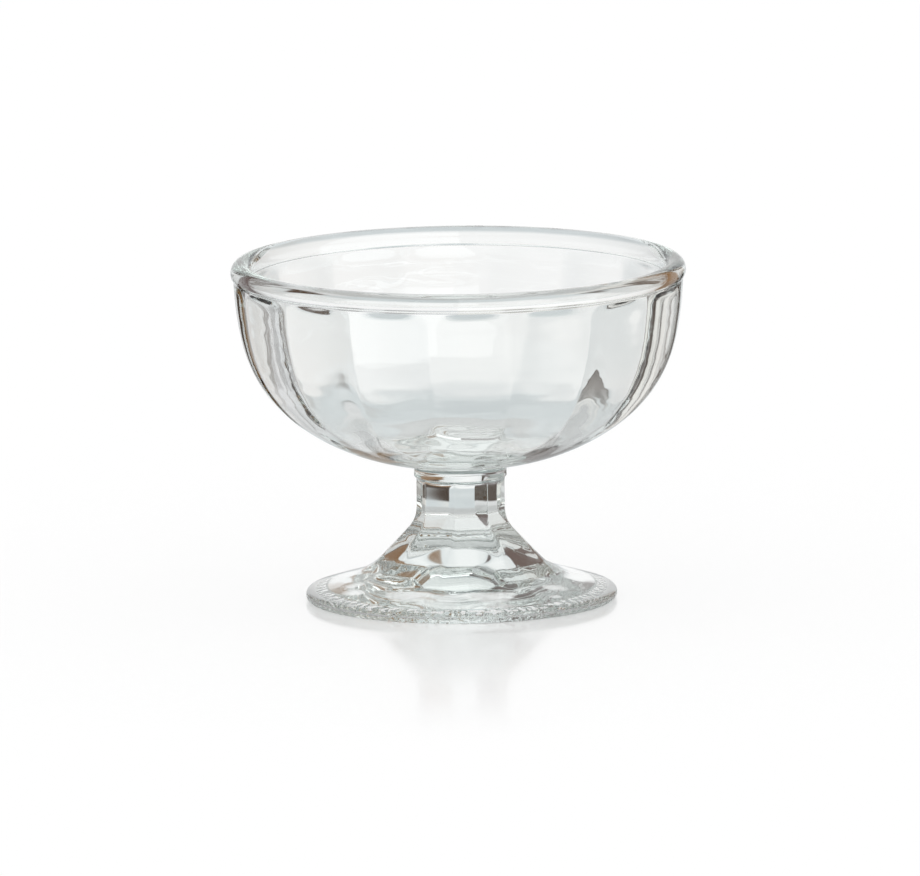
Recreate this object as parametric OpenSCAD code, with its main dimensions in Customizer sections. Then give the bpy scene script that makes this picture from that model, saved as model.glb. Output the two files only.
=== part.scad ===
// Footed ice cream cup in clear pressed glass.
// The outside of the bowl is smooth and its inside has upright panels. The stem has flat
// sides, which fade into a round foot with a hollow underside.
// The axis is Z, and the foot rests at z = 0. One panel is centred on the -Y side.

/* [Rim] */
// Widest diameter, over the bead
rim_d = 110; // [80:1:140]
// Thickness of the round bead
bead_d = 5.3; // [4.6:0.1:7]

/* [Bowl] */
// How far the bead stands out from the wall under it
bead_step = 0.67; // [0.3:0.01:1.5]
// Lean of the wall at the bead, from the vertical
wall_lean = 0.5; // [0:0.1:4]
// Radius of the upright side
side_r = 80; // [70:1:120]
// Lean where the side turns into the shoulder
shoulder_lean = 12; // [8:0.5:18]
// Radius of the shoulder
shoulder_r = 34.5; // [30:0.5:38]
// Lean where the shoulder turns into the underside
under_lean = 54.5; // [48:0.5:60]
// Radius of the underside
under_r = 55; // [50:1:70]
// Lean where the underside ends over the stem
end_lean = 80; // [75:0.5:84]
// Thickness of the wall between two panels
wall = 3.9; // [3:0.1:4.8]
// Radius of the inside under the shoulder
inner_under_r = 45; // [38:1:60]
// Thickness of the glass between the floor and the underside where it ends
floor_t = 4.7; // [3:0.1:8]

/* [Panels] */
// Number of panels inside the bowl, an even number
panel_count = 16; // [8:2:24]
// How far the middle of a panel stands in from the round wall
panel_depth = 0.8; // [0.3:0.05:1]
// Drop from the top of the bead to the lower corners of the panel tops
panel_drop = 8.2; // [7:0.1:14]
// Radius of the run-out over the top of each panel
runout_r = 4.5; // [2:0.5:10]

/* [Stem] */
// Height over the table at which the underside of the bowl meets the collar
stem_h = 33; // [31:0.2:44]
// Diameter of the stem, before its sides are cut
stem_d = 21.7; // [18:0.1:26]
// Number of sides of the stem, an even number
side_count = 8; // [6:2:12]
// Depth of each side of the stem, from the round outline
side_depth = 0.9; // [0.3:0.05:1.2]
// Height of the round lip left between each side and the collar
lip_h = 0.2; // [0.1:0.05:0.6]
// Diameter of the collar between the stem and the bowl
collar_d = 22.4; // [19:0.2:28]
// Height from the lower edge of the collar to the underside of the bowl
collar_h = 3; // [2:0.1:5]
// Radius of the hollow between the collar and the bowl
collar_fillet_r = 1.7; // [0.8:0.1:2.4]

/* [Foot] */
// Widest diameter of the foot
foot_d = 75.2; // [64:0.2:90]
// Thickness of the rounded edge of the foot
foot_edge_t = 2.8; // [2.4:0.1:6]
// Slope of the top of the foot
foot_slope = 17; // [10:0.5:20]
// Slope of the flare between the foot and the stem
flare_slope = 47; // [40:0.5:55]
// Height at which the straight flare would meet the stem
flare_h = 19.4; // [16:0.2:22]
// Radius of the hollow between the foot and the flare
flare_low_r = 18; // [8:1:22]
// Radius of the hollow between the flare and the stem
flare_top_r = 7; // [3:0.5:9]
// Diameter on the foot at which the sides of the stem fade out
fade_d = 62; // [52:1:64]
// How much flatter than the foot the fading end of each side is
fade_slope = 3; // [1:0.5:6]

/* [Hollow under the foot] */
// Width of the flat ring that the foot rests on
ring_w = 1.8; // [1:0.1:4]
// Depth of the hollow
hollow_h = 6; // [2:0.2:8]
// Diameter of the flat top of the hollow
hollow_top_d = 13; // [6:0.5:18]
// Radius round the top of the hollow
hollow_edge_r = 6; // [2:0.5:12]

/* [Hidden] */
$fn = 120;
arc_step = 5;
cut_past = 1;
rim_r = rim_d / 2;
bead_r = bead_d / 2;
stem_r = stem_d / 2;
collar_r = collar_d / 2;
edge_r = foot_edge_t / 2;
edge_centre = [foot_d / 2 - edge_r, edge_r];

// The points of an outline are [distance from the axis, height]. A lean is the angle of the side
// of the bowl from the vertical, and along() points out of the side at that lean.
function along(lean) = [cos(lean), -sin(lean)];
function turn_steps(a, b) = max(1, ceil(abs(b - a) / arc_step));
function backwards(points) = [for (i = [len(points) - 1 : -1 : 0]) points[i]];

// Points of an arc from the angle a to the angle b
function arc(centre, r, a, b) =
    let (n = turn_steps(a, b))
    [for (i = [0 : n]) let (t = a + (b - a) * i / n) centre + r * [cos(t), sin(t)]];

// Points of the side of a bowl, from its top down: arcs that touch, one for each radius
function side(top, radii, leans, i = 0) =
    let (centre = top - radii[i] * along(leans[i]),
         points = arc(centre, radii[i], -leans[i], -leans[i + 1]),
         end = points[len(points) - 1])
    i == len(radii) - 1 ? points :
    concat([for (k = [0 : len(points) - 2]) points[k]], side(end, radii, leans, i + 1));

// Where the line through p with the rise slope_p meets the line through q with the rise slope_q
function meet(p, slope_p, q, slope_q) =
    let (x = (q[1] - p[1] + p[0] * tan(slope_p) - q[0] * tan(slope_q)) / (tan(slope_p) - tan(slope_q)))
    [x, p[1] + (x - p[0]) * tan(slope_p)];

// Points that round the corner between the point before it and the point after it
function rounded(before, corner, after, r) =
    let (u = (before - corner) / norm(before - corner),
         v = (after - corner) / norm(after - corner),
         half = acos(u * v) / 2,
         centre = corner + (u + v) / norm(u + v) * r / sin(half),
         from = corner + u * r / tan(half) - centre,
         to = corner + v * r / tan(half) - centre,
         a = atan2(from[1], from[0]),
         b = atan2(to[1], to[0]),
         swing = b - a > 180 ? b - a - 360 : b - a < -180 ? b - a + 360 : b - a)
    arc(centre, r, a, a + swing);

// Bowl, whose outside is first drawn down from the rim to find how deep it is
outer_radii = [side_r, shoulder_r, under_r];
outer_leans = [wall_lean, shoulder_lean, under_lean, end_lean];
hanging_side = side([rim_r - bead_step, 0], outer_radii, outer_leans);
hanging_end = hanging_side[len(hanging_side) - 1];
collar_top = [collar_r, stem_h];
collar_z = stem_h - collar_h;
bowl_end = [hanging_end[0], stem_h + (hanging_end[0] - collar_r) * tan(90 - end_lean)];
outer_top = [rim_r - bead_step, bowl_end[1] - hanging_end[1]];
outer_side = side(outer_top, outer_radii, outer_leans);
bead_centre = [rim_r - bead_r, outer_top[1]];
cup_h = bead_centre[1] + bead_r;

// Inside of the bowl, which runs beside the outside down to the shoulder
inner_top = outer_top - wall * along(wall_lean);
inner_radii = [side_r - wall, shoulder_r - wall, inner_under_r];
side_centre = outer_top - side_r * along(wall_lean);
shoulder_centre = side_centre + (side_r - shoulder_r) * along(shoulder_lean);
inner_centre = shoulder_centre + (shoulder_r - wall - inner_under_r) * along(under_lean);
floor_z = bowl_end[1] + floor_t;
floor_lean = asin(min(1, (inner_centre[1] - floor_z) / inner_under_r));
inner_side = side(inner_top, inner_radii, [wall_lean, shoulder_lean, under_lean, floor_lean]);
crease_angle = acos((inner_top[0] - bead_centre[0]) / bead_r);

// Panels
panel_z = cup_h - panel_drop;
panel_lean = asin((side_centre[1] - panel_z) / (side_r - wall));
panel_top = side_centre + (side_r - wall) * along(panel_lean) - [panel_depth, 0];
panel_leans = [panel_lean, shoulder_lean, under_lean, min(89, floor_lean + 3)];
panel_w = 2.1 * inner_top[0] * sin(180 / panel_count);

// Foot
foot_end = edge_centre + edge_r * [sin(foot_slope), cos(foot_slope)];
fade_end = [fade_d / 2, foot_end[1] + (foot_end[0] - fade_d / 2) * tan(foot_slope)];
ring_r = edge_centre[0] - ring_w;
side_w = 2 * fade_d / 2 * sin(180 / side_count);

// Points of the stem and its flare, moved in by inset, down to a foot whose top passes through end
function flare(inset, end, slope, top_z) =
    let (stem_top = [stem_r - inset, top_z],
         flare_top = [stem_r - inset, flare_h],
         flare_low = meet(flare_top, -flare_slope, end, -slope))
    concat([stem_top],
           rounded(stem_top, flare_top, flare_low, flare_top_r + inset),
           rounded(flare_top, flare_low, end, flare_low_r + inset));

// The outline, drawn straight through a block of the width w, once for each side
module each_side(count, turn, w) {
    for (i = [0 : count - 1])
        rotate([90, 0, turn + i * 360 / count - 90])
            linear_extrude(height = w, center = true)
                children();
}

// The whole cup before it is hollowed: bead, bowl, collar, stem, flare, foot and its hollow
module blank() {
    rotate_extrude()
        polygon(concat(
            [[0, cup_h]],
            arc(bead_centre, bead_r, 90, -acos((outer_top[0] - bead_centre[0]) / bead_r)),
            [for (p = outer_side) if (p[1] < bead_centre[1] - bead_r) p],
            rounded(bowl_end, collar_top, [collar_r, collar_z], collar_fillet_r),
            [[collar_r, collar_z]],
            flare(0, foot_end, foot_slope, collar_z),
            arc(edge_centre, edge_r, 90 - foot_slope, -90),
            [[ring_r, 0]],
            rounded([ring_r, 0], [hollow_top_d / 2, hollow_h], [0, hollow_h], hollow_edge_r),
            [[0, hollow_h]]));
}

// The round inside of the bowl, up over the inner half of the bead
module round_cavity() {
    rotate_extrude()
        polygon(concat(
            [[0, cup_h + cut_past], [bead_centre[0], cup_h + cut_past]],
            arc(bead_centre, bead_r, 90, 360 - crease_angle),
            [for (p = inner_side) if (p[1] < bead_centre[1] - bead_r) p],
            [[0, floor_z]]));
}

// What a panel takes away from the round cavity: a curved strip, with a run-out at its top
module panel_strip() {
    strip_w = [panel_depth + wall / 2, 0];
    panel_side = side(panel_top, inner_radii, panel_leans);
    runout_centre = panel_top + runout_r * along(panel_lean);
    polygon(concat(
        arc(runout_centre, runout_r, 180 - panel_lean - 70, 180 - panel_lean),
        [for (i = [1 : len(panel_side) - 1]) panel_side[i]],
        backwards([for (p = panel_side) p + strip_w])));
}

module cavity() {
    difference() {
        round_cavity();
        each_side(panel_count, 0, panel_w)
            panel_strip();
    }
}

// What a side of the stem takes away from the round stem and its flare
module stem_side() {
    top_z = collar_z - lip_h;
    outside = fade_end[0] + cut_past;
    polygon(concat(
        flare(side_depth, fade_end, foot_slope - fade_slope, top_z),
        [fade_end, [outside, fade_end[1]], [outside, top_z]]));
}

module ice_cream_cup() {
    color("lightcyan")
        difference() {
            blank();
            cavity();
            each_side(side_count, 180 / panel_count, side_w)
                stem_side();
        }
}

ice_cream_cup();
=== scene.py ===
"""The looks of a footed ice cream cup in clear pressed glass, on a white studio floor."""

import math

import bpy
import numpy as np
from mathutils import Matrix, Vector


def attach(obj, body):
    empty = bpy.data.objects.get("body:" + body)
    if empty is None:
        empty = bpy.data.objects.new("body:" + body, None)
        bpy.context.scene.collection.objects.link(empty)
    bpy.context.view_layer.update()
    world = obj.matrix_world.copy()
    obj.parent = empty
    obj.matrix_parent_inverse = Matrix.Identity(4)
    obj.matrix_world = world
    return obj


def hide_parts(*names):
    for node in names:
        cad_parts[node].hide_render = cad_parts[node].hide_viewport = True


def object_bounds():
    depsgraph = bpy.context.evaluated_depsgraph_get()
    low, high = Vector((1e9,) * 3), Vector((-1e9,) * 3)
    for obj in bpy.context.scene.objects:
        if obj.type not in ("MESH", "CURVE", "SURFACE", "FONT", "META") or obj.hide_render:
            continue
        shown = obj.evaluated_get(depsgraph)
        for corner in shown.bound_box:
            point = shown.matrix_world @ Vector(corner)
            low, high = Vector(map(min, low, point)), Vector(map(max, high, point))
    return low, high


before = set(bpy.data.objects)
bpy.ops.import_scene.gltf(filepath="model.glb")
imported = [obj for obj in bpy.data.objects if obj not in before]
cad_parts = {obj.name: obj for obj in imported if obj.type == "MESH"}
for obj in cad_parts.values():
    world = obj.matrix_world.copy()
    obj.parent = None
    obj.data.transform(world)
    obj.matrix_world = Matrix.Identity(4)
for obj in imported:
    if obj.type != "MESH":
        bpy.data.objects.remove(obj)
cad_low, cad_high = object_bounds()

bl_info = {
    "name": "Ice Cream Cup",
    "version": (1, 0, 0),
    "blender": (4, 5, 0),
    "location": "3D View > Sidebar > Cup",
    "description": "Models a pressed glass ice cream cup and sets it on a white studio floor",
    "category": "Add Mesh",
}

MM = 0.001
# Points of the outline that are nearer than this are one point
SAME_POINT = MM / 100
# Too small to see, but more than nothing
TINY = MM / 1000
NODE = "ice_cream_cup"
PIECE = "cup_glass"
IMAGE_W = 920
SENSOR_W = 36
VIEW_DEPTH = 100
WHITE = (1, 1, 1, 1)


def length(name, description, default):
    """A size that is shown in the scene's own unit of length."""
    return bpy.props.FloatProperty(
        name=name, description=description, default=default, min=0, unit="LENGTH", precision=5
    )


def angle(name, description, degrees):
    """An angle, shown in degrees."""
    return bpy.props.FloatProperty(
        name=name, description=description, default=math.radians(degrees), subtype="ANGLE"
    )


def number(name, description, default):
    """A plain number."""
    return bpy.props.FloatProperty(name=name, description=description, default=default, precision=4)


def colour(name, description, default):
    """A colour with no alpha."""
    return bpy.props.FloatVectorProperty(
        name=name, description=description, default=default, subtype="COLOR", size=3, min=0, max=1
    )


class BowlSizes(bpy.types.PropertyGroup):
    """Sizes of the bowl and its rim."""

    rim_d: length("Rim", "Widest diameter, over the bead", cad_high.x - cad_low.x)
    cup_h: length("Height", "Height of the top of the bead", cad_high.z)
    bead_d: length("Bead", "Thickness of the round bead", 5.3 * MM)
    bead_step: length("Bead step", "How far the bead stands out from the wall", 0.67 * MM)
    bead_soft_r: length("Bead seat", "Radius where the bead meets the wall", 0.6 * MM)
    wall_lean: angle("Wall lean", "Lean of the wall at the bead", 0.5)
    side_r: length("Side", "Radius of the upright side", 80 * MM)
    shoulder_lean: angle("Shoulder lean", "Lean where the side turns into the shoulder", 12)
    shoulder_r: length("Shoulder", "Radius of the shoulder", 34.5 * MM)
    under_lean: angle("Underside lean", "Lean where the shoulder turns into the underside", 54.5)
    under_r: length("Underside", "Radius of the underside", 55 * MM)
    end_lean: angle("End lean", "Lean where the underside ends over the stem", 80)
    wall: length("Wall", "Thickness of the wall between two panels", 3.9 * MM)
    inner_under_r: length("Inner underside", "Radius of the inside under the shoulder", 45 * MM)
    floor_t: length("Floor", "Thickness of the glass between the floor and the underside", 4.7 * MM)
    floor_soft_r: length("Floor edge", "Radius at the edge of the floor", 20 * MM)
    floor_soft_reach: length("Floor edge reach", "How near the edge the side gives way", 2.5 * MM)


class PanelSizes(bpy.types.PropertyGroup):
    """Sizes of the panels inside the bowl."""

    panel_count: bpy.props.IntProperty(name="Panels", description="Number of panels", default=16)
    depth: length("Depth", "How far the middle of a panel stands in", 0.8 * MM)
    drop: length("Drop", "From the top of the bead to the corners of the panels", 8.2 * MM)
    runout_h: length("Run-out", "Height of the rounded top of a panel", 3 * MM)
    fade_h: length("Fade", "Height over the floor in which the panels fade out", 12 * MM)
    edge_soft: length("Edge softness", "How much the fire polish rounds a panel's edge", 0.5 * MM)


class StemSizes(bpy.types.PropertyGroup):
    """Sizes of the stem and the collar over it."""

    stem_d: length("Stem", "Diameter of the stem before its sides", 21.7 * MM)
    side_count: bpy.props.IntProperty(name="Sides", description="Number of sides", default=8)
    side_depth: length("Side depth", "Depth of each side", 0.9 * MM)
    side_soft: length("Side softness", "How much the corners of the sides are rounded", 0.22 * MM)
    collar_d: length("Collar", "Diameter of the collar", 22.4 * MM)
    collar_h: length("Collar height", "Height of the collar's lower edge under the bowl", 3 * MM)
    collar_soft_r: length("Collar edge", "Radius of the collar's lower edge", 0.35 * MM)
    collar_fillet_r: length("Collar fillet", "Radius between the collar and the bowl", 1.7 * MM)


class FootSizes(bpy.types.PropertyGroup):
    """Sizes of the foot and its hollow."""

    foot_d: length("Foot", "Widest diameter of the foot", 75.2 * MM)
    foot_edge_t: length("Foot edge", "Thickness of the rounded edge", 2.8 * MM)
    foot_slope: angle("Foot slope", "Slope of the top of the foot", 17)
    flare_slope: angle("Flare slope", "Slope of the flare", 47)
    flare_h: length("Flare height", "Where the straight flare would meet the stem", 19.4 * MM)
    flare_low_r: length("Lower hollow", "Radius between the foot and the flare", 18 * MM)
    flare_top_r: length("Upper hollow", "Radius between the flare and the stem", 7 * MM)
    fade_d: length("Fade", "Diameter at which the sides fade out", 62 * MM)
    fade_slope: angle("Fade slope", "How much flatter than the foot a side's end is", 3)
    cut_past: length("Past the fade", "How far past its end the cut of a side goes on", 10 * MM)
    ring_w: length("Ring", "Width of the flat ring that the foot rests on", 1.8 * MM)
    ring_soft_r: length("Ring edge", "Radius at the inner edge of the ring", 0.6 * MM)
    hollow_h: length("Hollow", "Depth of the hollow", 6 * MM)
    hollow_top_d: length("Hollow top", "Diameter of the flat top of the hollow", 13 * MM)
    hollow_soft_r: length("Hollow edge", "Radius round the top of the hollow", 6 * MM)


class MeshDetail(bpy.types.PropertyGroup):
    """How finely the glass is divided."""

    columns_per_panel: bpy.props.IntProperty(
        name="Columns", description="Columns of faces to each panel", default=18
    )
    gather: number("Gather", "How much the columns crowd towards the panels' edges", 0.55)
    arc_step: angle("Arc step", "Largest turn between two points of the outline", 9)
    point_gap: length("Point gap", "Largest distance between two points of the outline", 0.95 * MM)


class GlassFinish(bpy.types.PropertyGroup):
    """How the glass looks."""

    tint: colour("Tint", "What the surface lets through", (0.985, 0.992, 0.988))
    ior: number("Index", "Index of refraction", 1.52)
    deep_tint: colour("Deep tint", "Colour of thick glass", (0.72, 0.84, 0.80))
    deep_density: number("Density", "How fast thick glass darkens, per metre", 8)
    ripple_size: length("Ripple", "Width of the ripples", 12 * MM)
    ripple_stretch: bpy.props.FloatVectorProperty(
        name="Ripple stretch", description="How much closer the ripples lie", default=(1, 1, 4)
    )
    ripple_h: length("Ripple height", "Height of the ripples", 0.1 * MM)
    stipple_size: length("Stipple", "Size of the dots on the resting ring", 1.4 * MM)
    stipple_w: length("Stipple reach", "How far the dots go in from the resting ring", 3 * MM)
    stipple_top: length("Stipple top", "Height over the table up to which there are dots", 1.8 * MM)
    stipple_fade: length("Stipple fade", "Width over which the dots fade out", 0.6 * MM)
    stipple_h: length("Stipple height", "Height of the dots", 0.9 * MM)


class StudioSetup(bpy.types.PropertyGroup):
    """The camera, the white floor and the painted surround that only the glass shows."""

    distance: length("Distance", "From the camera to the cup", 6)
    elevation: angle("Elevation", "Height of the camera over the horizon", 9.5)
    azimuth: angle("Azimuth", "Turn of the camera round the cup", -3.5)
    roll: angle("Roll", "Tilt of the camera", -0.62)
    pixels_per_m: number("Scale", "Pixels of the picture to a metre at the cup", 4141)
    aim_h: length("Aim", "Height of the point at the middle of the picture", 39.2 * MM)
    light_bounces: bpy.props.IntProperty(
        name="Bounces", description="How often light turns inside the glass", default=24
    )
    seen_h: length("Seen from", "Height from which the glass shows the floor", 60 * MM)
    # From here to top_colour, and the window's brightness below: the painted surround, painted
    # reflections that only the glass shows; they light nothing
    back_turn: angle("Background", "Turn from the middle to the edge of the background", 23)
    side_turn: angle("Front", "Turn from the middle of the background to the window", 98)
    high_turn: angle("Background over the floor", "The same turn above the floor", 18)
    high_rise: angle("Floor's end", "Rise at which the sides turn dark", -4)
    # Painted dark reflections: where the dark strips stand in the surround
    strip_turn: angle("Strip", "Turn from the middle of a side to a dark strip", 31)
    strip_half: angle("Strip width", "Half of the width of a dark strip", 7.5)
    far_pale: number("Pale strips", "How much paler the strips further round are", 0.65)
    strip_gap: angle("Side pitch", "Turn from one side to the next", 90)
    # Painted shade: the floor seen in the glass is dimmer from here down towards the cup
    dim_low: angle("Dim floor", "Rise up to which the background's floor is dim", -21)
    dim_rise: angle("Bright floor", "Rise from which the background is brightest", -12)
    floor_rise: angle("Near floor's end", "Rise of the far edge of the floor near the cup", -32)
    side_low: angle("Strip foot", "Rise of the foot of the dark strips", -25)
    side_rise: angle("Strip top", "Rise of the top of the strips and the background", 40)
    # Painted highlight: a window that only the glass reflects; it lights nothing
    painted_window_low: angle("Window foot", "Rise of the foot of the window", 10)
    painted_window_rise: angle("Window top", "Rise of the top of the window", 65)
    edge_turn: angle("Soft edge", "Turn over which one part of the surround goes into the next", 4)
    # Painted shade: the dimmer edges of the background, and below the colour of that dim background and
    # floor
    dim_edge: number("Dim edges", "How dim the edges of the background are", 0.6)
    paper: colour("Background colour", "Colour of the background and bright floor", (1, 1, 1))
    dim_paper: colour("Dim background", "Colour at the background's edges", (0.66, 0.70, 0.715))
    left_colour: colour("Left colour", "Colour between the strips on the left", (0.75, 0.75, 0.76))
    right_colour: colour("Right colour", "Colour between the strips on the right", (0.84, 0.82, 0.79))
    # Painted dark reflection: the colour of the dark strips
    side_colour: colour("Strip colour", "Colour of the dark strips", (0.045, 0.025, 0.013))
    # Painted reflections: the warm and dark upper sides that give the rim its glints, and the grey over
    # the strips
    high_left: colour("High left", "Colour of the upper side on the left", (0.16, 0.125, 0.12))
    high_right: colour("High right", "Colour of the upper side on the right", (0.27, 0.15, 0.07))
    over_side: colour("Over the sides", "Colour over the strips", (0.45, 0.45, 0.45))
    # Painted shadow: the floor near the cup, darker as the glass shows it
    painted_floor_shadow: colour("Near floor", "Colour of the floor near the cup", (0.56, 0.57, 0.57))
    # Painted dark reflection over the cup
    top_colour: colour("Top colour", "Colour over the cup", (0.13, 0.15, 0.16))
    floor_w: length("Floor", "Width of the floor", 8)
    floor_colour: colour("Floor colour", "Colour of the floor where it is lit", (0.9, 0.9, 0.9))
    floor_level: number("Floor level", "Brightness of the floor where it glows", 1.07)
    floor_glow: number("Floor glow", "Share of the floor that glows for the camera", 0.6)
    # Painted light: under the foot the floor partly glows, so that the foot looks bright through the
    # glass; the rest is the lit floor
    under_r: length("Under the foot", "Reach of the floor under the foot", 42 * MM)
    under_fade: length("Under fade", "Width over which that floor goes into the rest", 12.6 * MM)
    glow_r: length("Bright middle", "Reach of the glow under the foot", 31.5 * MM)
    glow_fade: length("Glow fade", "Width over which that glow fades out", 4.2 * MM)
    under_glow: number("Glow under the foot", "Share of the floor under the foot that glows", 0.7)
    # Painted highlight: the window is brighter than white, but only the glass sees it
    painted_window_level: number("Window", "Brightness of the window to the right of the camera", 1.6)
    mirror: number("Mirror", "Share of the floor that mirrors the cup", 0.4)
    mirror_reach: length("Mirror reach", "Distance at which the mirrored image has faded", 0.2)
    mirror_rough: number("Mirror blur", "Roughness of the mirrored image", 0.12)


class CupSettings(bpy.types.PropertyGroup):
    """All that can be changed on the cup and its stage."""

    bowl: bpy.props.PointerProperty(type=BowlSizes)
    panels: bpy.props.PointerProperty(type=PanelSizes)
    stem: bpy.props.PointerProperty(type=StemSizes)
    foot: bpy.props.PointerProperty(type=FootSizes)
    detail: bpy.props.PointerProperty(type=MeshDetail)
    finish: bpy.props.PointerProperty(type=GlassFinish)
    studio: bpy.props.PointerProperty(type=StudioSetup)


# Outline of the glass: each point is [distance from the axis, height]


def along(lean):
    """The direction out of the side of the bowl where it leans that much."""
    return np.array([math.cos(lean), -math.sin(lean)])


def arc(centre, r, a, b, detail):
    """Points of an arc from the angle a to the angle b."""
    steps = max(abs(b - a) / detail.arc_step, abs(b - a) * r / detail.point_gap)
    turns = np.linspace(a, b, max(2, math.ceil(steps) + 1))
    return [centre + r * np.array([math.cos(t), math.sin(t)]) for t in turns]


def line(a, b, detail):
    """Points from a to b, with both ends."""
    steps = max(1, math.ceil(np.linalg.norm(b - a) / detail.point_gap))
    return [a + (b - a) * i / steps for i in range(steps + 1)]


def side(top, radii, leans, detail):
    """The side of a bowl from its top down: arcs that touch, one for each radius."""
    points = []
    for r, lean, next_lean in zip(radii, leans, leans[1:]):
        centre = top - r * along(lean)
        points += arc(centre, r, -lean, -next_lean, detail)
        top = points[-1]
    return points


def meet(p, slope_p, q, slope_q):
    """Where the line through p with one rise meets the line through q with another."""
    rise = math.tan(slope_p) - math.tan(slope_q)
    x = (q[1] - p[1] + p[0] * math.tan(slope_p) - q[0] * math.tan(slope_q)) / rise
    return np.array([x, p[1] + (x - p[0]) * math.tan(slope_p)])


def rounded(before, corner, after, r, detail):
    """Points that round a corner between the point before it and the point after it."""
    u = (before - corner) / np.linalg.norm(before - corner)
    v = (after - corner) / np.linalg.norm(after - corner)
    half = math.acos(max(-1, min(1, float(u @ v)))) / 2
    centre = corner + (u + v) / np.linalg.norm(u + v) * r / math.sin(half)
    start = corner + u * r / math.tan(half) - centre
    end = corner + v * r / math.tan(half) - centre
    a = math.atan2(start[1], start[0])
    swing = (math.atan2(end[1], end[0]) - a + math.pi) % (2 * math.pi) - math.pi
    return arc(centre, r, a, a + swing, detail)


def joined(points, detail):
    """The points in turn, with long stretches divided and doubles left out."""
    whole = [np.array(points[0], float)]
    for p in points[1:]:
        if np.linalg.norm(p - whole[-1]) > SAME_POINT:
            whole += line(whole[-1], np.array(p, float), detail)[1:]
    return whole


def flare(inset, end, slope, top_z, cup, detail):
    """The stem and its flare, moved in by inset, down to a foot that passes through end."""
    stem_r = cup.stem.stem_d / 2 - inset
    stem_top = np.array([stem_r, top_z])
    flare_top = np.array([stem_r, cup.foot.flare_h])
    flare_low = meet(flare_top, -cup.foot.flare_slope, end, -slope)
    return (
        [stem_top]
        + rounded(stem_top, flare_top, flare_low, cup.foot.flare_top_r + inset, detail)
        + rounded(flare_top, flare_low, end, cup.foot.flare_low_r + inset, detail)
    )


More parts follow.
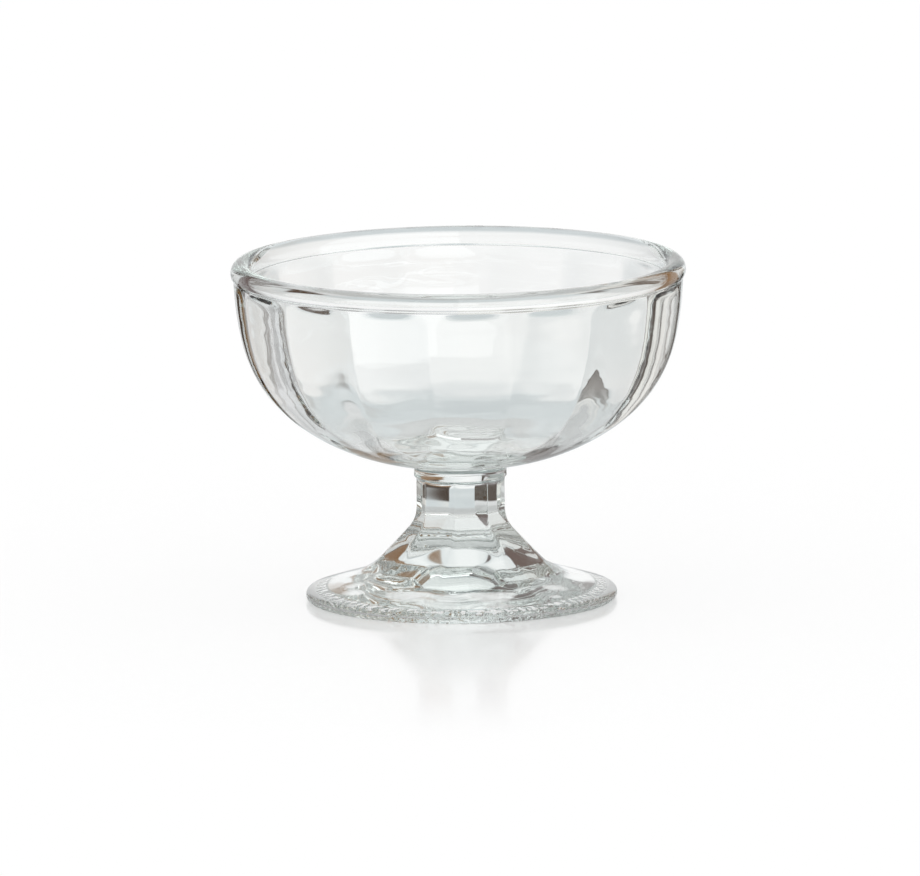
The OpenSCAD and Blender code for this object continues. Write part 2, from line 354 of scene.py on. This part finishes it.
class Outline:
    """The round outline of the cup, and what its panels and sides are cut from."""

    def __init__(self, cup):
        bowl, stem, foot, detail = cup.bowl, cup.stem, cup.foot, cup.detail
        bead_r = bowl.bead_d / 2
        self.bead_centre = np.array([bowl.rim_d / 2 - bead_r, bowl.cup_h - bead_r])
        outer_top = np.array([bowl.rim_d / 2 - bowl.bead_step, self.bead_centre[1]])
        outer_radii = [bowl.side_r, bowl.shoulder_r, bowl.under_r]
        outer_leans = [bowl.wall_lean, bowl.shoulder_lean, bowl.under_lean, bowl.end_lean]
        outer = side(outer_top, outer_radii, outer_leans, detail)
        bowl_end = outer[-1]
        self.side_centre = outer_top - bowl.side_r * along(bowl.wall_lean)
        inner = self.inner_side(bowl, outer_top, bowl_end, detail)
        self.outside = self.foot_points(cup) + self.stem_points(cup, bowl_end)
        self.outside += outer[::-1]
        self.outside = [p for p in self.outside if p[1] < self.bead_centre[1]]
        self.rim = self.rim_points(bowl, outer, inner, detail)
        self.inside = [p for p in inner if p[1] < self.rim[-1][1]]
        self.inside.append(np.array([0.0, inner[-1][1]]))

    def inner_side(self, bowl, outer_top, bowl_end, detail):
        """The inside of the bowl, which runs beside the outside down to the shoulder."""
        top = outer_top - bowl.wall * along(bowl.wall_lean)
        shoulder = self.side_centre + (bowl.side_r - bowl.shoulder_r) * along(bowl.shoulder_lean)
        under_r = bowl.inner_under_r
        under = shoulder + (bowl.shoulder_r - bowl.wall - under_r) * along(bowl.under_lean)
        self.floor_z = bowl_end[1] + bowl.floor_t
        floor_lean = math.asin(min(1, (under[1] - self.floor_z) / under_r))
        radii = [bowl.side_r - bowl.wall, bowl.shoulder_r - bowl.wall, under_r]
        leans = [bowl.wall_lean, bowl.shoulder_lean, bowl.under_lean, floor_lean]
        points = side(top, radii, leans, detail)
        # A few points up from the corner, the side has the direction that the floor's edge starts in
        corner, before = points[-1], points[-4]
        keep = [p for p in points if np.linalg.norm(p - corner) > bowl.floor_soft_reach]
        axis = np.array([0.0, self.floor_z])
        return keep + rounded(before, corner, axis, bowl.floor_soft_r, detail)

    def rim_points(self, bowl, outer, inner, detail):
        """The bead, with a small round seat where it meets the wall on each side."""
        bead_r, soft_r = bowl.bead_d / 2, bowl.bead_soft_r
        centre = self.bead_centre
        seats = []
        for wall, way in ((outer, 1), (inner, -1)):
            wall_x = np.interp(-centre[1], [-p[1] for p in wall], [p[0] for p in wall])
            seat_x = wall_x + way * soft_r
            drop = math.sqrt((bead_r + soft_r) ** 2 - (seat_x - centre[0]) ** 2)
            seats.append(np.array([seat_x, centre[1] - drop]))
        outer_seat, inner_seat = seats
        out_turn = math.atan2(*(outer_seat - centre)[::-1])
        in_turn = math.atan2(*(inner_seat - centre)[::-1]) % (2 * math.pi)
        points = arc(outer_seat, soft_r, math.pi, out_turn + math.pi, detail)
        points += arc(centre, bead_r, out_turn, in_turn, detail)
        points += arc(inner_seat, soft_r, in_turn - math.pi, 0, detail)
        return points

    def foot_points(self, cup):
        """The hollow, the resting ring, the edge of the foot, its top and the flare."""
        foot, detail = cup.foot, cup.detail
        edge_r = foot.foot_edge_t / 2
        edge_centre = np.array([foot.foot_d / 2 - edge_r, edge_r])
        hollow_axis = np.array([0.0, foot.hollow_h])
        hollow_top = np.array([foot.hollow_top_d / 2, foot.hollow_h])
        ring_in = np.array([edge_centre[0] - foot.ring_w, 0.0])
        ring_out = np.array([edge_centre[0], 0.0])
        up = np.array([math.sin(foot.foot_slope), math.cos(foot.foot_slope)])
        foot_end = edge_centre + edge_r * up
        self.foot_end = foot_end
        points = [hollow_axis]
        points += rounded(hollow_axis, hollow_top, ring_in, foot.hollow_soft_r, detail)
        points += rounded(hollow_top, ring_in, ring_out, foot.ring_soft_r, detail)
        top_turn = math.pi / 2 - foot.foot_slope
        points += arc(edge_centre, edge_r, -math.pi / 2, top_turn, detail)
        return points

    def stem_points(self, cup, bowl_end):
        """The flare and the stem, up over the collar to the underside of the bowl."""
        bowl, stem, foot, detail = cup.bowl, cup.stem, cup.foot, cup.detail
        collar_r = stem.collar_d / 2
        slope = math.pi / 2 - bowl.end_lean
        collar_top = np.array(
            [collar_r, bowl_end[1] - (bowl_end[0] - collar_r) * math.tan(slope)]
        )
        self.collar_z = collar_top[1] - stem.collar_h
        collar_low = np.array([collar_r, self.collar_z])
        under_collar = np.array([stem.stem_d / 2, self.collar_z])
        fade_r = foot.fade_d / 2
        rise = (self.foot_end[0] - fade_r) * math.tan(foot.foot_slope)
        self.fade_end = np.array([fade_r, self.foot_end[1] + rise])
        points = flare(0, self.foot_end, foot.foot_slope, self.collar_z, cup, detail)[::-1]
        self.cut = flare(
            stem.side_depth,
            self.fade_end,
            foot.foot_slope - foot.fade_slope,
            self.collar_z,
            cup,
            detail,
        ) + [self.fade_end]
        points += rounded(under_collar, collar_low, collar_top, stem.collar_soft_r, detail)
        points += rounded(collar_low, collar_top, bowl_end, stem.collar_fillet_r, detail)
        return points


def soft_min(a, b, soft):
    """The lesser of two heights, with the edge where they cross rounded."""
    near = np.clip(1 - np.abs(a - b) / soft, 0, 1)
    return np.minimum(a, b) - near**2 * soft / 4


def gathered(turn, pitch, gather):
    """Moves columns at even turns closer to the edges of the panels."""
    share = (turn / pitch + 0.5) % 1
    return turn - pitch * gather * np.sin(2 * np.pi * share) / (2 * np.pi)


def from_middle(turn, pitch, middle):
    """The turn from the middle of the nearest side."""
    return (turn - middle + pitch / 2) % pitch - pitch / 2


def press_panels(r, z, turn, outline, cup):
    """Distance from the axis of the inside, once the panels are pressed into it."""
    bowl, panels = cup.bowl, cup.panels
    pitch = 2 * math.pi / panels.panel_count
    off = from_middle(turn, pitch, -math.pi / 2)
    size = r / (bowl.rim_d / 2 - bowl.bead_step - bowl.wall)
    fade = np.clip((z - outline.floor_z) / panels.fade_h, 0, 1)
    share = size * fade * fade * (3 - 2 * fade)
    panel_z = bowl.cup_h - panels.drop
    over = np.clip((z - panel_z) / panels.runout_h, 0, 1)
    runout = panels.depth * (1 - np.sqrt(1 - over**2))
    runout = runout + np.maximum(z - panel_z - panels.runout_h, 0)
    flat = (r - share * panels.depth + runout) / np.cos(off)
    return soft_min(r, flat, panels.edge_soft * share + TINY)


def press_sides(r, z, turn, outline, cup):
    """Distance from the axis of the stem and its flare, once the flat sides are pressed."""
    stem, foot = cup.stem, cup.foot
    pitch = 2 * math.pi / stem.side_count
    middle = -math.pi / 2 + math.pi / cup.panels.panel_count
    off = from_middle(turn, pitch, middle)
    past = foot.foot_slope - foot.fade_slope
    beyond = outline.cut[-1] + foot.cut_past * np.array([math.cos(past), -math.sin(past)])
    cut = [beyond] + outline.cut[::-1]
    reach = np.interp(z, [p[1] for p in cut], [p[0] for p in cut], left=1)
    return soft_min(r, reach / np.cos(off), stem.side_soft)


def deselect_all():
    """Clears the selection, which holds the CAD nodes after they are loaded."""
    if bpy.context.object and bpy.context.object.mode != "OBJECT":
        bpy.ops.object.mode_set(mode="OBJECT")
    bpy.ops.object.select_all(action="DESELECT")


def drawn_outline(points, name):
    """An open chain of edges along the points, made by extruding one point."""
    deselect_all()
    bpy.ops.mesh.primitive_plane_add(size=MM, location=(points[0][0], 0, points[0][1]))
    chain = bpy.context.object
    chain.name = chain.data.name = name
    bpy.ops.object.transform_apply(location=True)
    bpy.ops.object.mode_set(mode="EDIT")
    bpy.ops.mesh.select_all(action="SELECT")
    bpy.ops.mesh.merge(type="CENTER")
    for here, there in zip(points, points[1:]):
        move = (there[0] - here[0], 0, there[1] - here[1])
        bpy.ops.mesh.extrude_region_move(TRANSFORM_OT_translate={"value": move})
    bpy.ops.object.mode_set(mode="OBJECT")
    return chain


def spin_round(chain, columns):
    """Spins the chain round the axis into one closed shell."""
    bpy.ops.object.mode_set(mode="EDIT")
    bpy.ops.mesh.select_all(action="SELECT")
    bpy.ops.mesh.spin(steps=columns, angle=2 * math.pi, center=(0, 0, 0), axis=(0, 0, 1))
    bpy.ops.mesh.select_all(action="SELECT")
    bpy.ops.mesh.remove_doubles(threshold=TINY)
    bpy.ops.mesh.normals_make_consistent(inside=False)
    bpy.ops.object.mode_set(mode="OBJECT")


def make_glass(cup):
    """The whole cup as one closed shell of glass."""
    outline, detail = Outline(cup), cup.detail
    points = joined(outline.outside + outline.rim + outline.inside, detail)
    chain = drawn_outline(points, PIECE)
    reach = np.array(points)
    rim_place = int(np.argmax(reach[:, 1]))
    collar_place = int(np.argmin(np.abs(reach[:rim_place, 1] - outline.collar_z)))
    edge_place = int(np.argmax(reach[:collar_place, 0]))
    place = chain.data.attributes.new("place", "FLOAT", "POINT")
    place.data.foreach_set("value", np.arange(len(points), dtype=np.float32))
    columns = cup.panels.panel_count * detail.columns_per_panel
    spin_round(chain, columns)
    mesh = chain.data
    count = len(mesh.vertices)
    at = np.zeros(count, np.float32)
    mesh.attributes["place"].data.foreach_get("value", at)
    co = np.zeros(count * 3, np.float32)
    mesh.vertices.foreach_get("co", co)
    co = co.reshape(-1, 3).astype(float)
    r = np.hypot(co[:, 0], co[:, 1])
    z = co[:, 2]
    pitch = 2 * math.pi / cup.panels.panel_count
    turn = gathered(np.arctan2(co[:, 1], co[:, 0]), pitch, detail.gather)
    on_stem = (at > edge_place) & (at < collar_place)
    r = np.where(on_stem, press_sides(r, z, turn, outline, cup), r)
    r = np.where(at > rim_place, press_panels(r, z, turn, outline, cup), r)
    shaped = np.column_stack([r * np.cos(turn), r * np.sin(turn), z])
    mesh.vertices.foreach_set("co", shaped.astype(np.float32).ravel())
    mesh.attributes.remove(mesh.attributes["place"])
    mesh.update()
    deselect_all()
    chain.select_set(True)
    bpy.context.view_layer.objects.active = chain
    bpy.ops.object.shade_smooth()
    return chain


# Materials


class Shade:
    """A socket of a shader that can be used in sums, so that maths reads as maths."""

    def __init__(self, tree, socket):
        self.tree = tree
        self.socket = socket

    def maths(self, operation, *others):
        """One Math node on this value and others."""
        made = self.node("ShaderNodeMath", {"operation": operation}, [self, *others])
        return made["Value"]

    def node(self, kind, settings=None, inputs=None):
        """Adds a node, gives it its settings and inputs, and returns its outputs by name."""
        made = self.tree.nodes.new(kind)
        for name, value in (settings or {}).items():
            setattr(made, name, value)
        pairs = inputs.items() if isinstance(inputs, dict) else enumerate(inputs or [])
        for name, value in pairs:
            if isinstance(value, Shade):
                self.tree.links.new(value.socket, made.inputs[name])
            else:
                made.inputs[name].default_value = value
        return {o.name: Shade(self.tree, o) for o in made.outputs}

    def ramp(self, low, high):
        """A smooth step from 0 at low to 1 at high."""
        settings = {"interpolation_type": "SMOOTHSTEP"}
        made = self.node(
            "ShaderNodeMapRange", settings, {"Value": self, "From Min": low, "From Max": high}
        )
        return made["Result"]

    def step(self, middle, width):
        """A smooth step from 0 to 1 round a middle."""
        return self.ramp(middle - width / 2, middle + width / 2)

    def __add__(self, other):
        return self.maths("ADD", other)

    def __sub__(self, other):
        return self.maths("SUBTRACT", other)

    def __mul__(self, other):
        return self.maths("MULTIPLY", other)

    def __rsub__(self, other):
        return (self * -1) + other

    __radd__ = __add__
    __rmul__ = __mul__


def new_tree(owner):
    """An empty node tree for a material or a world, with a first value to work from."""
    owner.use_nodes = True
    owner.node_tree.nodes.clear()
    return Shade(owner.node_tree, None)


def pressed_surface(tree, cup):
    """The faint ripple of pressed glass, and the stipple of the ring it stands on."""
    finish, foot = cup.finish, cup.foot
    place = tree.node("ShaderNodeTexCoord")["Object"]
    stretched = tree.node(
        "ShaderNodeVectorMath", {"operation": "MULTIPLY"}, [place, finish.ripple_stretch]
    )["Vector"]
    ripple = tree.node(
        "ShaderNodeTexNoise", None, {"Vector": stretched, "Scale": 1 / finish.ripple_size, "Detail": 0}
    )["Fac"]
    dots = tree.node(
        "ShaderNodeTexNoise", None, {"Vector": place, "Scale": 1 / finish.stipple_size, "Detail": 0}
    )["Fac"]
    at = tree.node("ShaderNodeSeparateXYZ", None, [place])
    reach = (at["X"] * at["X"] + at["Y"] * at["Y"]).maths("SQRT")
    ring_r = foot.foot_d / 2 - foot.foot_edge_t / 2 - foot.ring_w
    stipple_r = ring_r - finish.stipple_w
    on_ring = reach.ramp(stipple_r, stipple_r + finish.stipple_fade)
    on_ring = on_ring * (1 - at["Z"].ramp(finish.stipple_top - finish.stipple_fade, finish.stipple_top))
    height = ripple * finish.ripple_h + dots * on_ring * finish.stipple_h
    return tree.node("ShaderNodeBump", None, {"Height": height, "Distance": 1.0})["Normal"]


def glass_material(cup):
    """Clear pressed glass with a faint ripple, a little green where it is thick."""
    finish = cup.finish
    material = bpy.data.materials.new("clear_pressed_glass")
    tree = new_tree(material)
    glass = tree.node(
        "ShaderNodeBsdfPrincipled",
        None,
        {
            "Base Color": (*finish.tint, 1),
            "Roughness": 0.0,
            "IOR": finish.ior,
            "Transmission Weight": 1.0,
            "Normal": pressed_surface(tree, cup),
        },
    )["BSDF"]
    depth = tree.node(
        "ShaderNodeVolumeAbsorption",
        None,
        {"Color": (*finish.deep_tint, 1), "Density": finish.deep_density},
    )["Volume"]
    tree.node("ShaderNodeOutputMaterial", None, {"Surface": glass, "Volume": depth})
    return material


def dress(piece, material):
    """Gives a piece its one material."""
    piece.data.materials.clear()
    piece.data.materials.append(material)


# Stage


def from_axis(tree, place):
    """The distance of a place on the floor from the axis of the cup."""
    return tree.node("ShaderNodeVectorMath", {"operation": "LENGTH"}, [place])["Value"]


def mixed(tree, factor, first, second):
    """The first shader, and the second one where the factor is 1."""
    return tree.node("ShaderNodeMixShader", None, {0: factor, 1: first, 2: second})["Shader"]


def seen_by_glass(tree):
    """1 for what clear glass shows by reflection or through itself, 0 for all other light.
    The floor's own mirrored image is blurred, so its rays aren't singular and don't count."""
    path = tree.node("ShaderNodeLightPath")
    through = path["Is Glossy Ray"].maths("MAXIMUM", path["Is Transmission Ray"])
    return through * path["Is Singular Ray"]


def turn_and_rise(tree, direction, studio):
    """The turn of a direction from the picture's middle to the right, and its rise."""
    turned = tree.node(
        "ShaderNodeVectorRotate",
        {"rotation_type": "Z_AXIS"},
        {"Vector": direction, "Angle": -studio.azimuth},
    )["Vector"]
    at = tree.node("ShaderNodeSeparateXYZ", None, [turned])
    return at["X"].maths("ARCTAN2", at["Y"]), at["Z"].maths("ARCSINE")


def dark_strips(away, rise, studio):
    """1 in the painted dark strips beside the middle of each side, less in those further round: dark
    reflections that only the glass shows.
    """
    soft = studio.edge_turn
    half_gap = studio.strip_gap / 2
    from_side = away.maths("WRAP", half_gap, -half_gap).maths("ABSOLUTE")
    off = (from_side - studio.strip_turn).maths("ABSOLUTE")
    strip = 1 - off.step(studio.strip_half, soft)
    far = away.ramp(half_gap, half_gap + soft)
    return strip * rise.step(studio.side_low, soft) * (1 - far * studio.far_pale)


def surround(tree, kind, output, direction, studio):
    """What the glass alone shows in a direction, all of it painted reflection: a white background, pale
    sides with painted dark strips between them, a painted window highlight to the right of the camera,
    the floor below with painted shade near the cup, and a dark top. It lights nothing."""
    turn, rise = turn_and_rise(tree, direction, studio)
    away = turn.maths("ABSOLUTE")
    soft = studio.edge_turn

    def glow(shade, level=1.0):
        return tree.node(kind, None, {"Color": (*shade, 1), "Strength": level})[output]

    right = turn.ramp(-soft, soft)
    # Painted shade: the background darker at its edges and on the floor towards the cup
    dim = away.ramp(0, studio.back_turn) * studio.dim_edge
    dim = dim.maths("MAXIMUM", 1 - rise.ramp(studio.dim_low, studio.dim_rise))
    back = mixed(tree, dim, glow(studio.paper), glow(studio.dim_paper))
    side = mixed(tree, right, glow(studio.left_colour), glow(studio.right_colour))
    beside = away.ramp(studio.back_turn, studio.back_turn + soft)
    around = mixed(tree, beside, back, side)
    # Painted dark reflections: the dark strips
    strip = dark_strips(away, rise, studio)
    around = mixed(tree, strip, around, glow(studio.side_colour))

    # Painted reflections of the upper sides, with the painted window highlight among them
    high = mixed(tree, right, glow(studio.high_left), glow(studio.high_right))
    # Painted highlight: the window to the right of the camera
    window = away.ramp(studio.side_turn, studio.side_turn + soft) * right
    painted_window = glow(studio.paper, studio.painted_window_level)
    high = mixed(tree, window * rise.step(studio.painted_window_low, soft), high, painted_window)
    over = away.ramp(studio.high_turn, studio.high_turn + soft)
    around = mixed(tree, over * rise.step(studio.high_rise, soft), around, high)

    # Painted shadow: the floor nearest the cup is darker
    painted_floor_shadow = rise.step(studio.floor_rise, soft)
    around = mixed(tree, painted_floor_shadow, glow(studio.painted_floor_shadow), around)
    above = rise.step(studio.side_rise, soft) * (1 - window)
    around = mixed(tree, above, around, glow(studio.over_side))
    # Painted dark reflection: the top over the cup
    top = rise.step(studio.painted_window_rise, soft)
    return mixed(tree, top, around, glow(studio.top_colour))


def floor_shown(tree, place, lit, white, studio):
    """What the glass shows of the floor: the painted surround with painted shade near the cup, and
    under the foot the lit floor mixed with a painted glow.
    """
    seen_from = (0, 0, studio.seen_h)
    way = tree.node("ShaderNodeVectorMath", {"operation": "SUBTRACT"}, [place, seen_from])["Vector"]
    way = tree.node("ShaderNodeVectorMath", {"operation": "NORMALIZE"}, [way])["Vector"]
    around = surround(tree, "ShaderNodeEmission", "Emission", way, studio)
    reach = from_axis(tree, place)
    # Painted light: the floor under the middle of the foot glows, mixed with the lit floor
    painted_glow = 1 - reach.ramp(studio.glow_r, studio.glow_r + studio.glow_fade)
    under = mixed(tree, painted_glow * studio.under_glow, lit, white)
    return mixed(tree, reach.ramp(studio.under_r, studio.under_r + studio.under_fade), under, around)


def white_floor(studio):
    """A pale floor, white in the picture, with a faint mirrored image of the cup. What the glass
    reflects and shows through itself of the floor is painted.
    """
    deselect_all()
    bpy.ops.mesh.primitive_plane_add(size=studio.floor_w)
    floor = bpy.context.object
    floor.name = floor.data.name = "studio_floor"
    material = bpy.data.materials.new("white_floor")
    tree = new_tree(material)
    place = tree.node("ShaderNodeTexCoord")["Object"]
    white = {"Color": WHITE, "Strength": studio.floor_level}
    white = tree.node("ShaderNodeEmission", None, white)["Emission"]
    lit = tree.node("ShaderNodeBsdfDiffuse", None, {"Color": (*studio.floor_colour, 1)})["BSDF"]
    mirror = {"Color": WHITE, "Roughness": studio.mirror_rough}
    mirror = tree.node("ShaderNodeBsdfGlossy", None, mirror)["BSDF"]
    shown = floor_shown(tree, place, lit, white, studio)
    faded = 1 - from_axis(tree, place).ramp(studio.under_r, studio.mirror_reach)
    base = mixed(tree, studio.floor_glow, lit, white)
    base = mixed(tree, faded * studio.mirror, base, mirror)
    camera = tree.node("ShaderNodeLightPath")["Is Camera Ray"]
    # Rays that the glass reflects or lets through see the painted floor; other rays see the lit floor
    whole = mixed(tree, camera, mixed(tree, seen_by_glass(tree), lit, shown), base)
    tree.node("ShaderNodeOutputMaterial", None, {"Surface": whole})
    dress(floor, material)


def studio_world(studio):
    """A soft white light, and the painted surround that the glass alone shows, which lights nothing."""
    world = bpy.data.worlds.new("studio")
    bpy.context.scene.world = world
    tree = new_tree(world)
    way = tree.node("ShaderNodeTexCoord")["Generated"]
    shown = surround(tree, "ShaderNodeBackground", "Background", way, studio)
    white = tree.node("ShaderNodeBackground", None, {"Color": WHITE, "Strength": 1.0})
    whole = mixed(tree, seen_by_glass(tree), white["Background"], shown)
    tree.node("ShaderNodeOutputWorld", None, {"Surface": whole})


def place_camera(studio):
    """The camera with the long lens, at the height and turn of the picture."""
    data = bpy.data.cameras.new("camera")
    camera = bpy.data.objects.new("camera", data)
    bpy.context.scene.collection.objects.link(camera)
    azimuth, elevation = studio.azimuth, studio.elevation
    back = Vector(
        (
            math.sin(azimuth) * math.cos(elevation),
            -math.cos(azimuth) * math.cos(elevation),
            math.sin(elevation),
        )
    )
    camera.location = Vector((0, 0, studio.aim_h)) + back * studio.distance
    camera.rotation_euler = (-back).to_track_quat("-Z", "Y").to_euler()
    camera.rotation_euler.rotate_axis("Z", studio.roll)
    data.sensor_width = SENSOR_W
    data.lens = SENSOR_W * studio.pixels_per_m * studio.distance / IMAGE_W
    data.clip_end = VIEW_DEPTH
    bpy.context.scene.camera = camera


# Operators and the panel that lists them


class CUP_OT_make_glass(bpy.types.Operator):
    """Model the cup in clear pressed glass, in place of the plain solid"""

    bl_idname = "cup.make_glass"
    bl_label = "Make the glass"
    bl_options = {"REGISTER", "UNDO"}

    def execute(self, context):
        cup = context.scene.ice_cream_cup
        glass = make_glass(cup)
        dress(glass, glass_material(cup))
        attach(glass, "root")
        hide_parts(NODE)
        return {"FINISHED"}


class CUP_OT_set_stage(bpy.types.Operator):
    """Set the white floor, the soft light and the camera"""

    bl_idname = "cup.set_stage"
    bl_label = "Set the stage"
    bl_options = {"REGISTER", "UNDO"}

    def execute(self, context):
        studio = context.scene.ice_cream_cup.studio
        context.scene.view_settings.view_transform = "Standard"
        cycles = context.scene.cycles
        cycles.max_bounces = studio.light_bounces
        cycles.glossy_bounces = studio.light_bounces
        cycles.transmission_bounces = studio.light_bounces
        white_floor(studio)
        studio_world(studio)
        place_camera(studio)
        return {"FINISHED"}


class CUP_PT_sidebar(bpy.types.Panel):
    """The cup's sizes and its operators"""

    bl_idname = "CUP_PT_sidebar"
    bl_label = "Ice Cream Cup"
    bl_space_type = "VIEW_3D"
    bl_region_type = "UI"
    bl_category = "Cup"

    def draw(self, context):
        cup = context.scene.ice_cream_cup
        for name in CupSettings.__annotations__:
            box = self.layout.box()
            box.label(text=name.capitalize())
            for size in type(getattr(cup, name)).__annotations__:
                box.prop(getattr(cup, name), size)
        for operator in OPERATORS:
            self.layout.operator(operator.bl_idname)


GROUPS = (BowlSizes, PanelSizes, StemSizes, FootSizes, MeshDetail, GlassFinish, StudioSetup)
OPERATORS = (CUP_OT_make_glass, CUP_OT_set_stage)
CLASSES = (*GROUPS, CupSettings, *OPERATORS, CUP_PT_sidebar)


def register():
    """Adds the classes and the scene's settings."""
    for made in CLASSES:
        bpy.utils.register_class(made)
    bpy.types.Scene.ice_cream_cup = bpy.props.PointerProperty(type=CupSettings)


def unregister():
    """Takes the settings and the classes away again."""
    del bpy.types.Scene.ice_cream_cup
    for made in reversed(CLASSES):
        bpy.utils.unregister_class(made)


def main():
    """Makes the cup and its stage."""
    register()
    bpy.ops.cup.make_glass()
    bpy.ops.cup.set_stage()


if __name__ == "__main__":
    main()
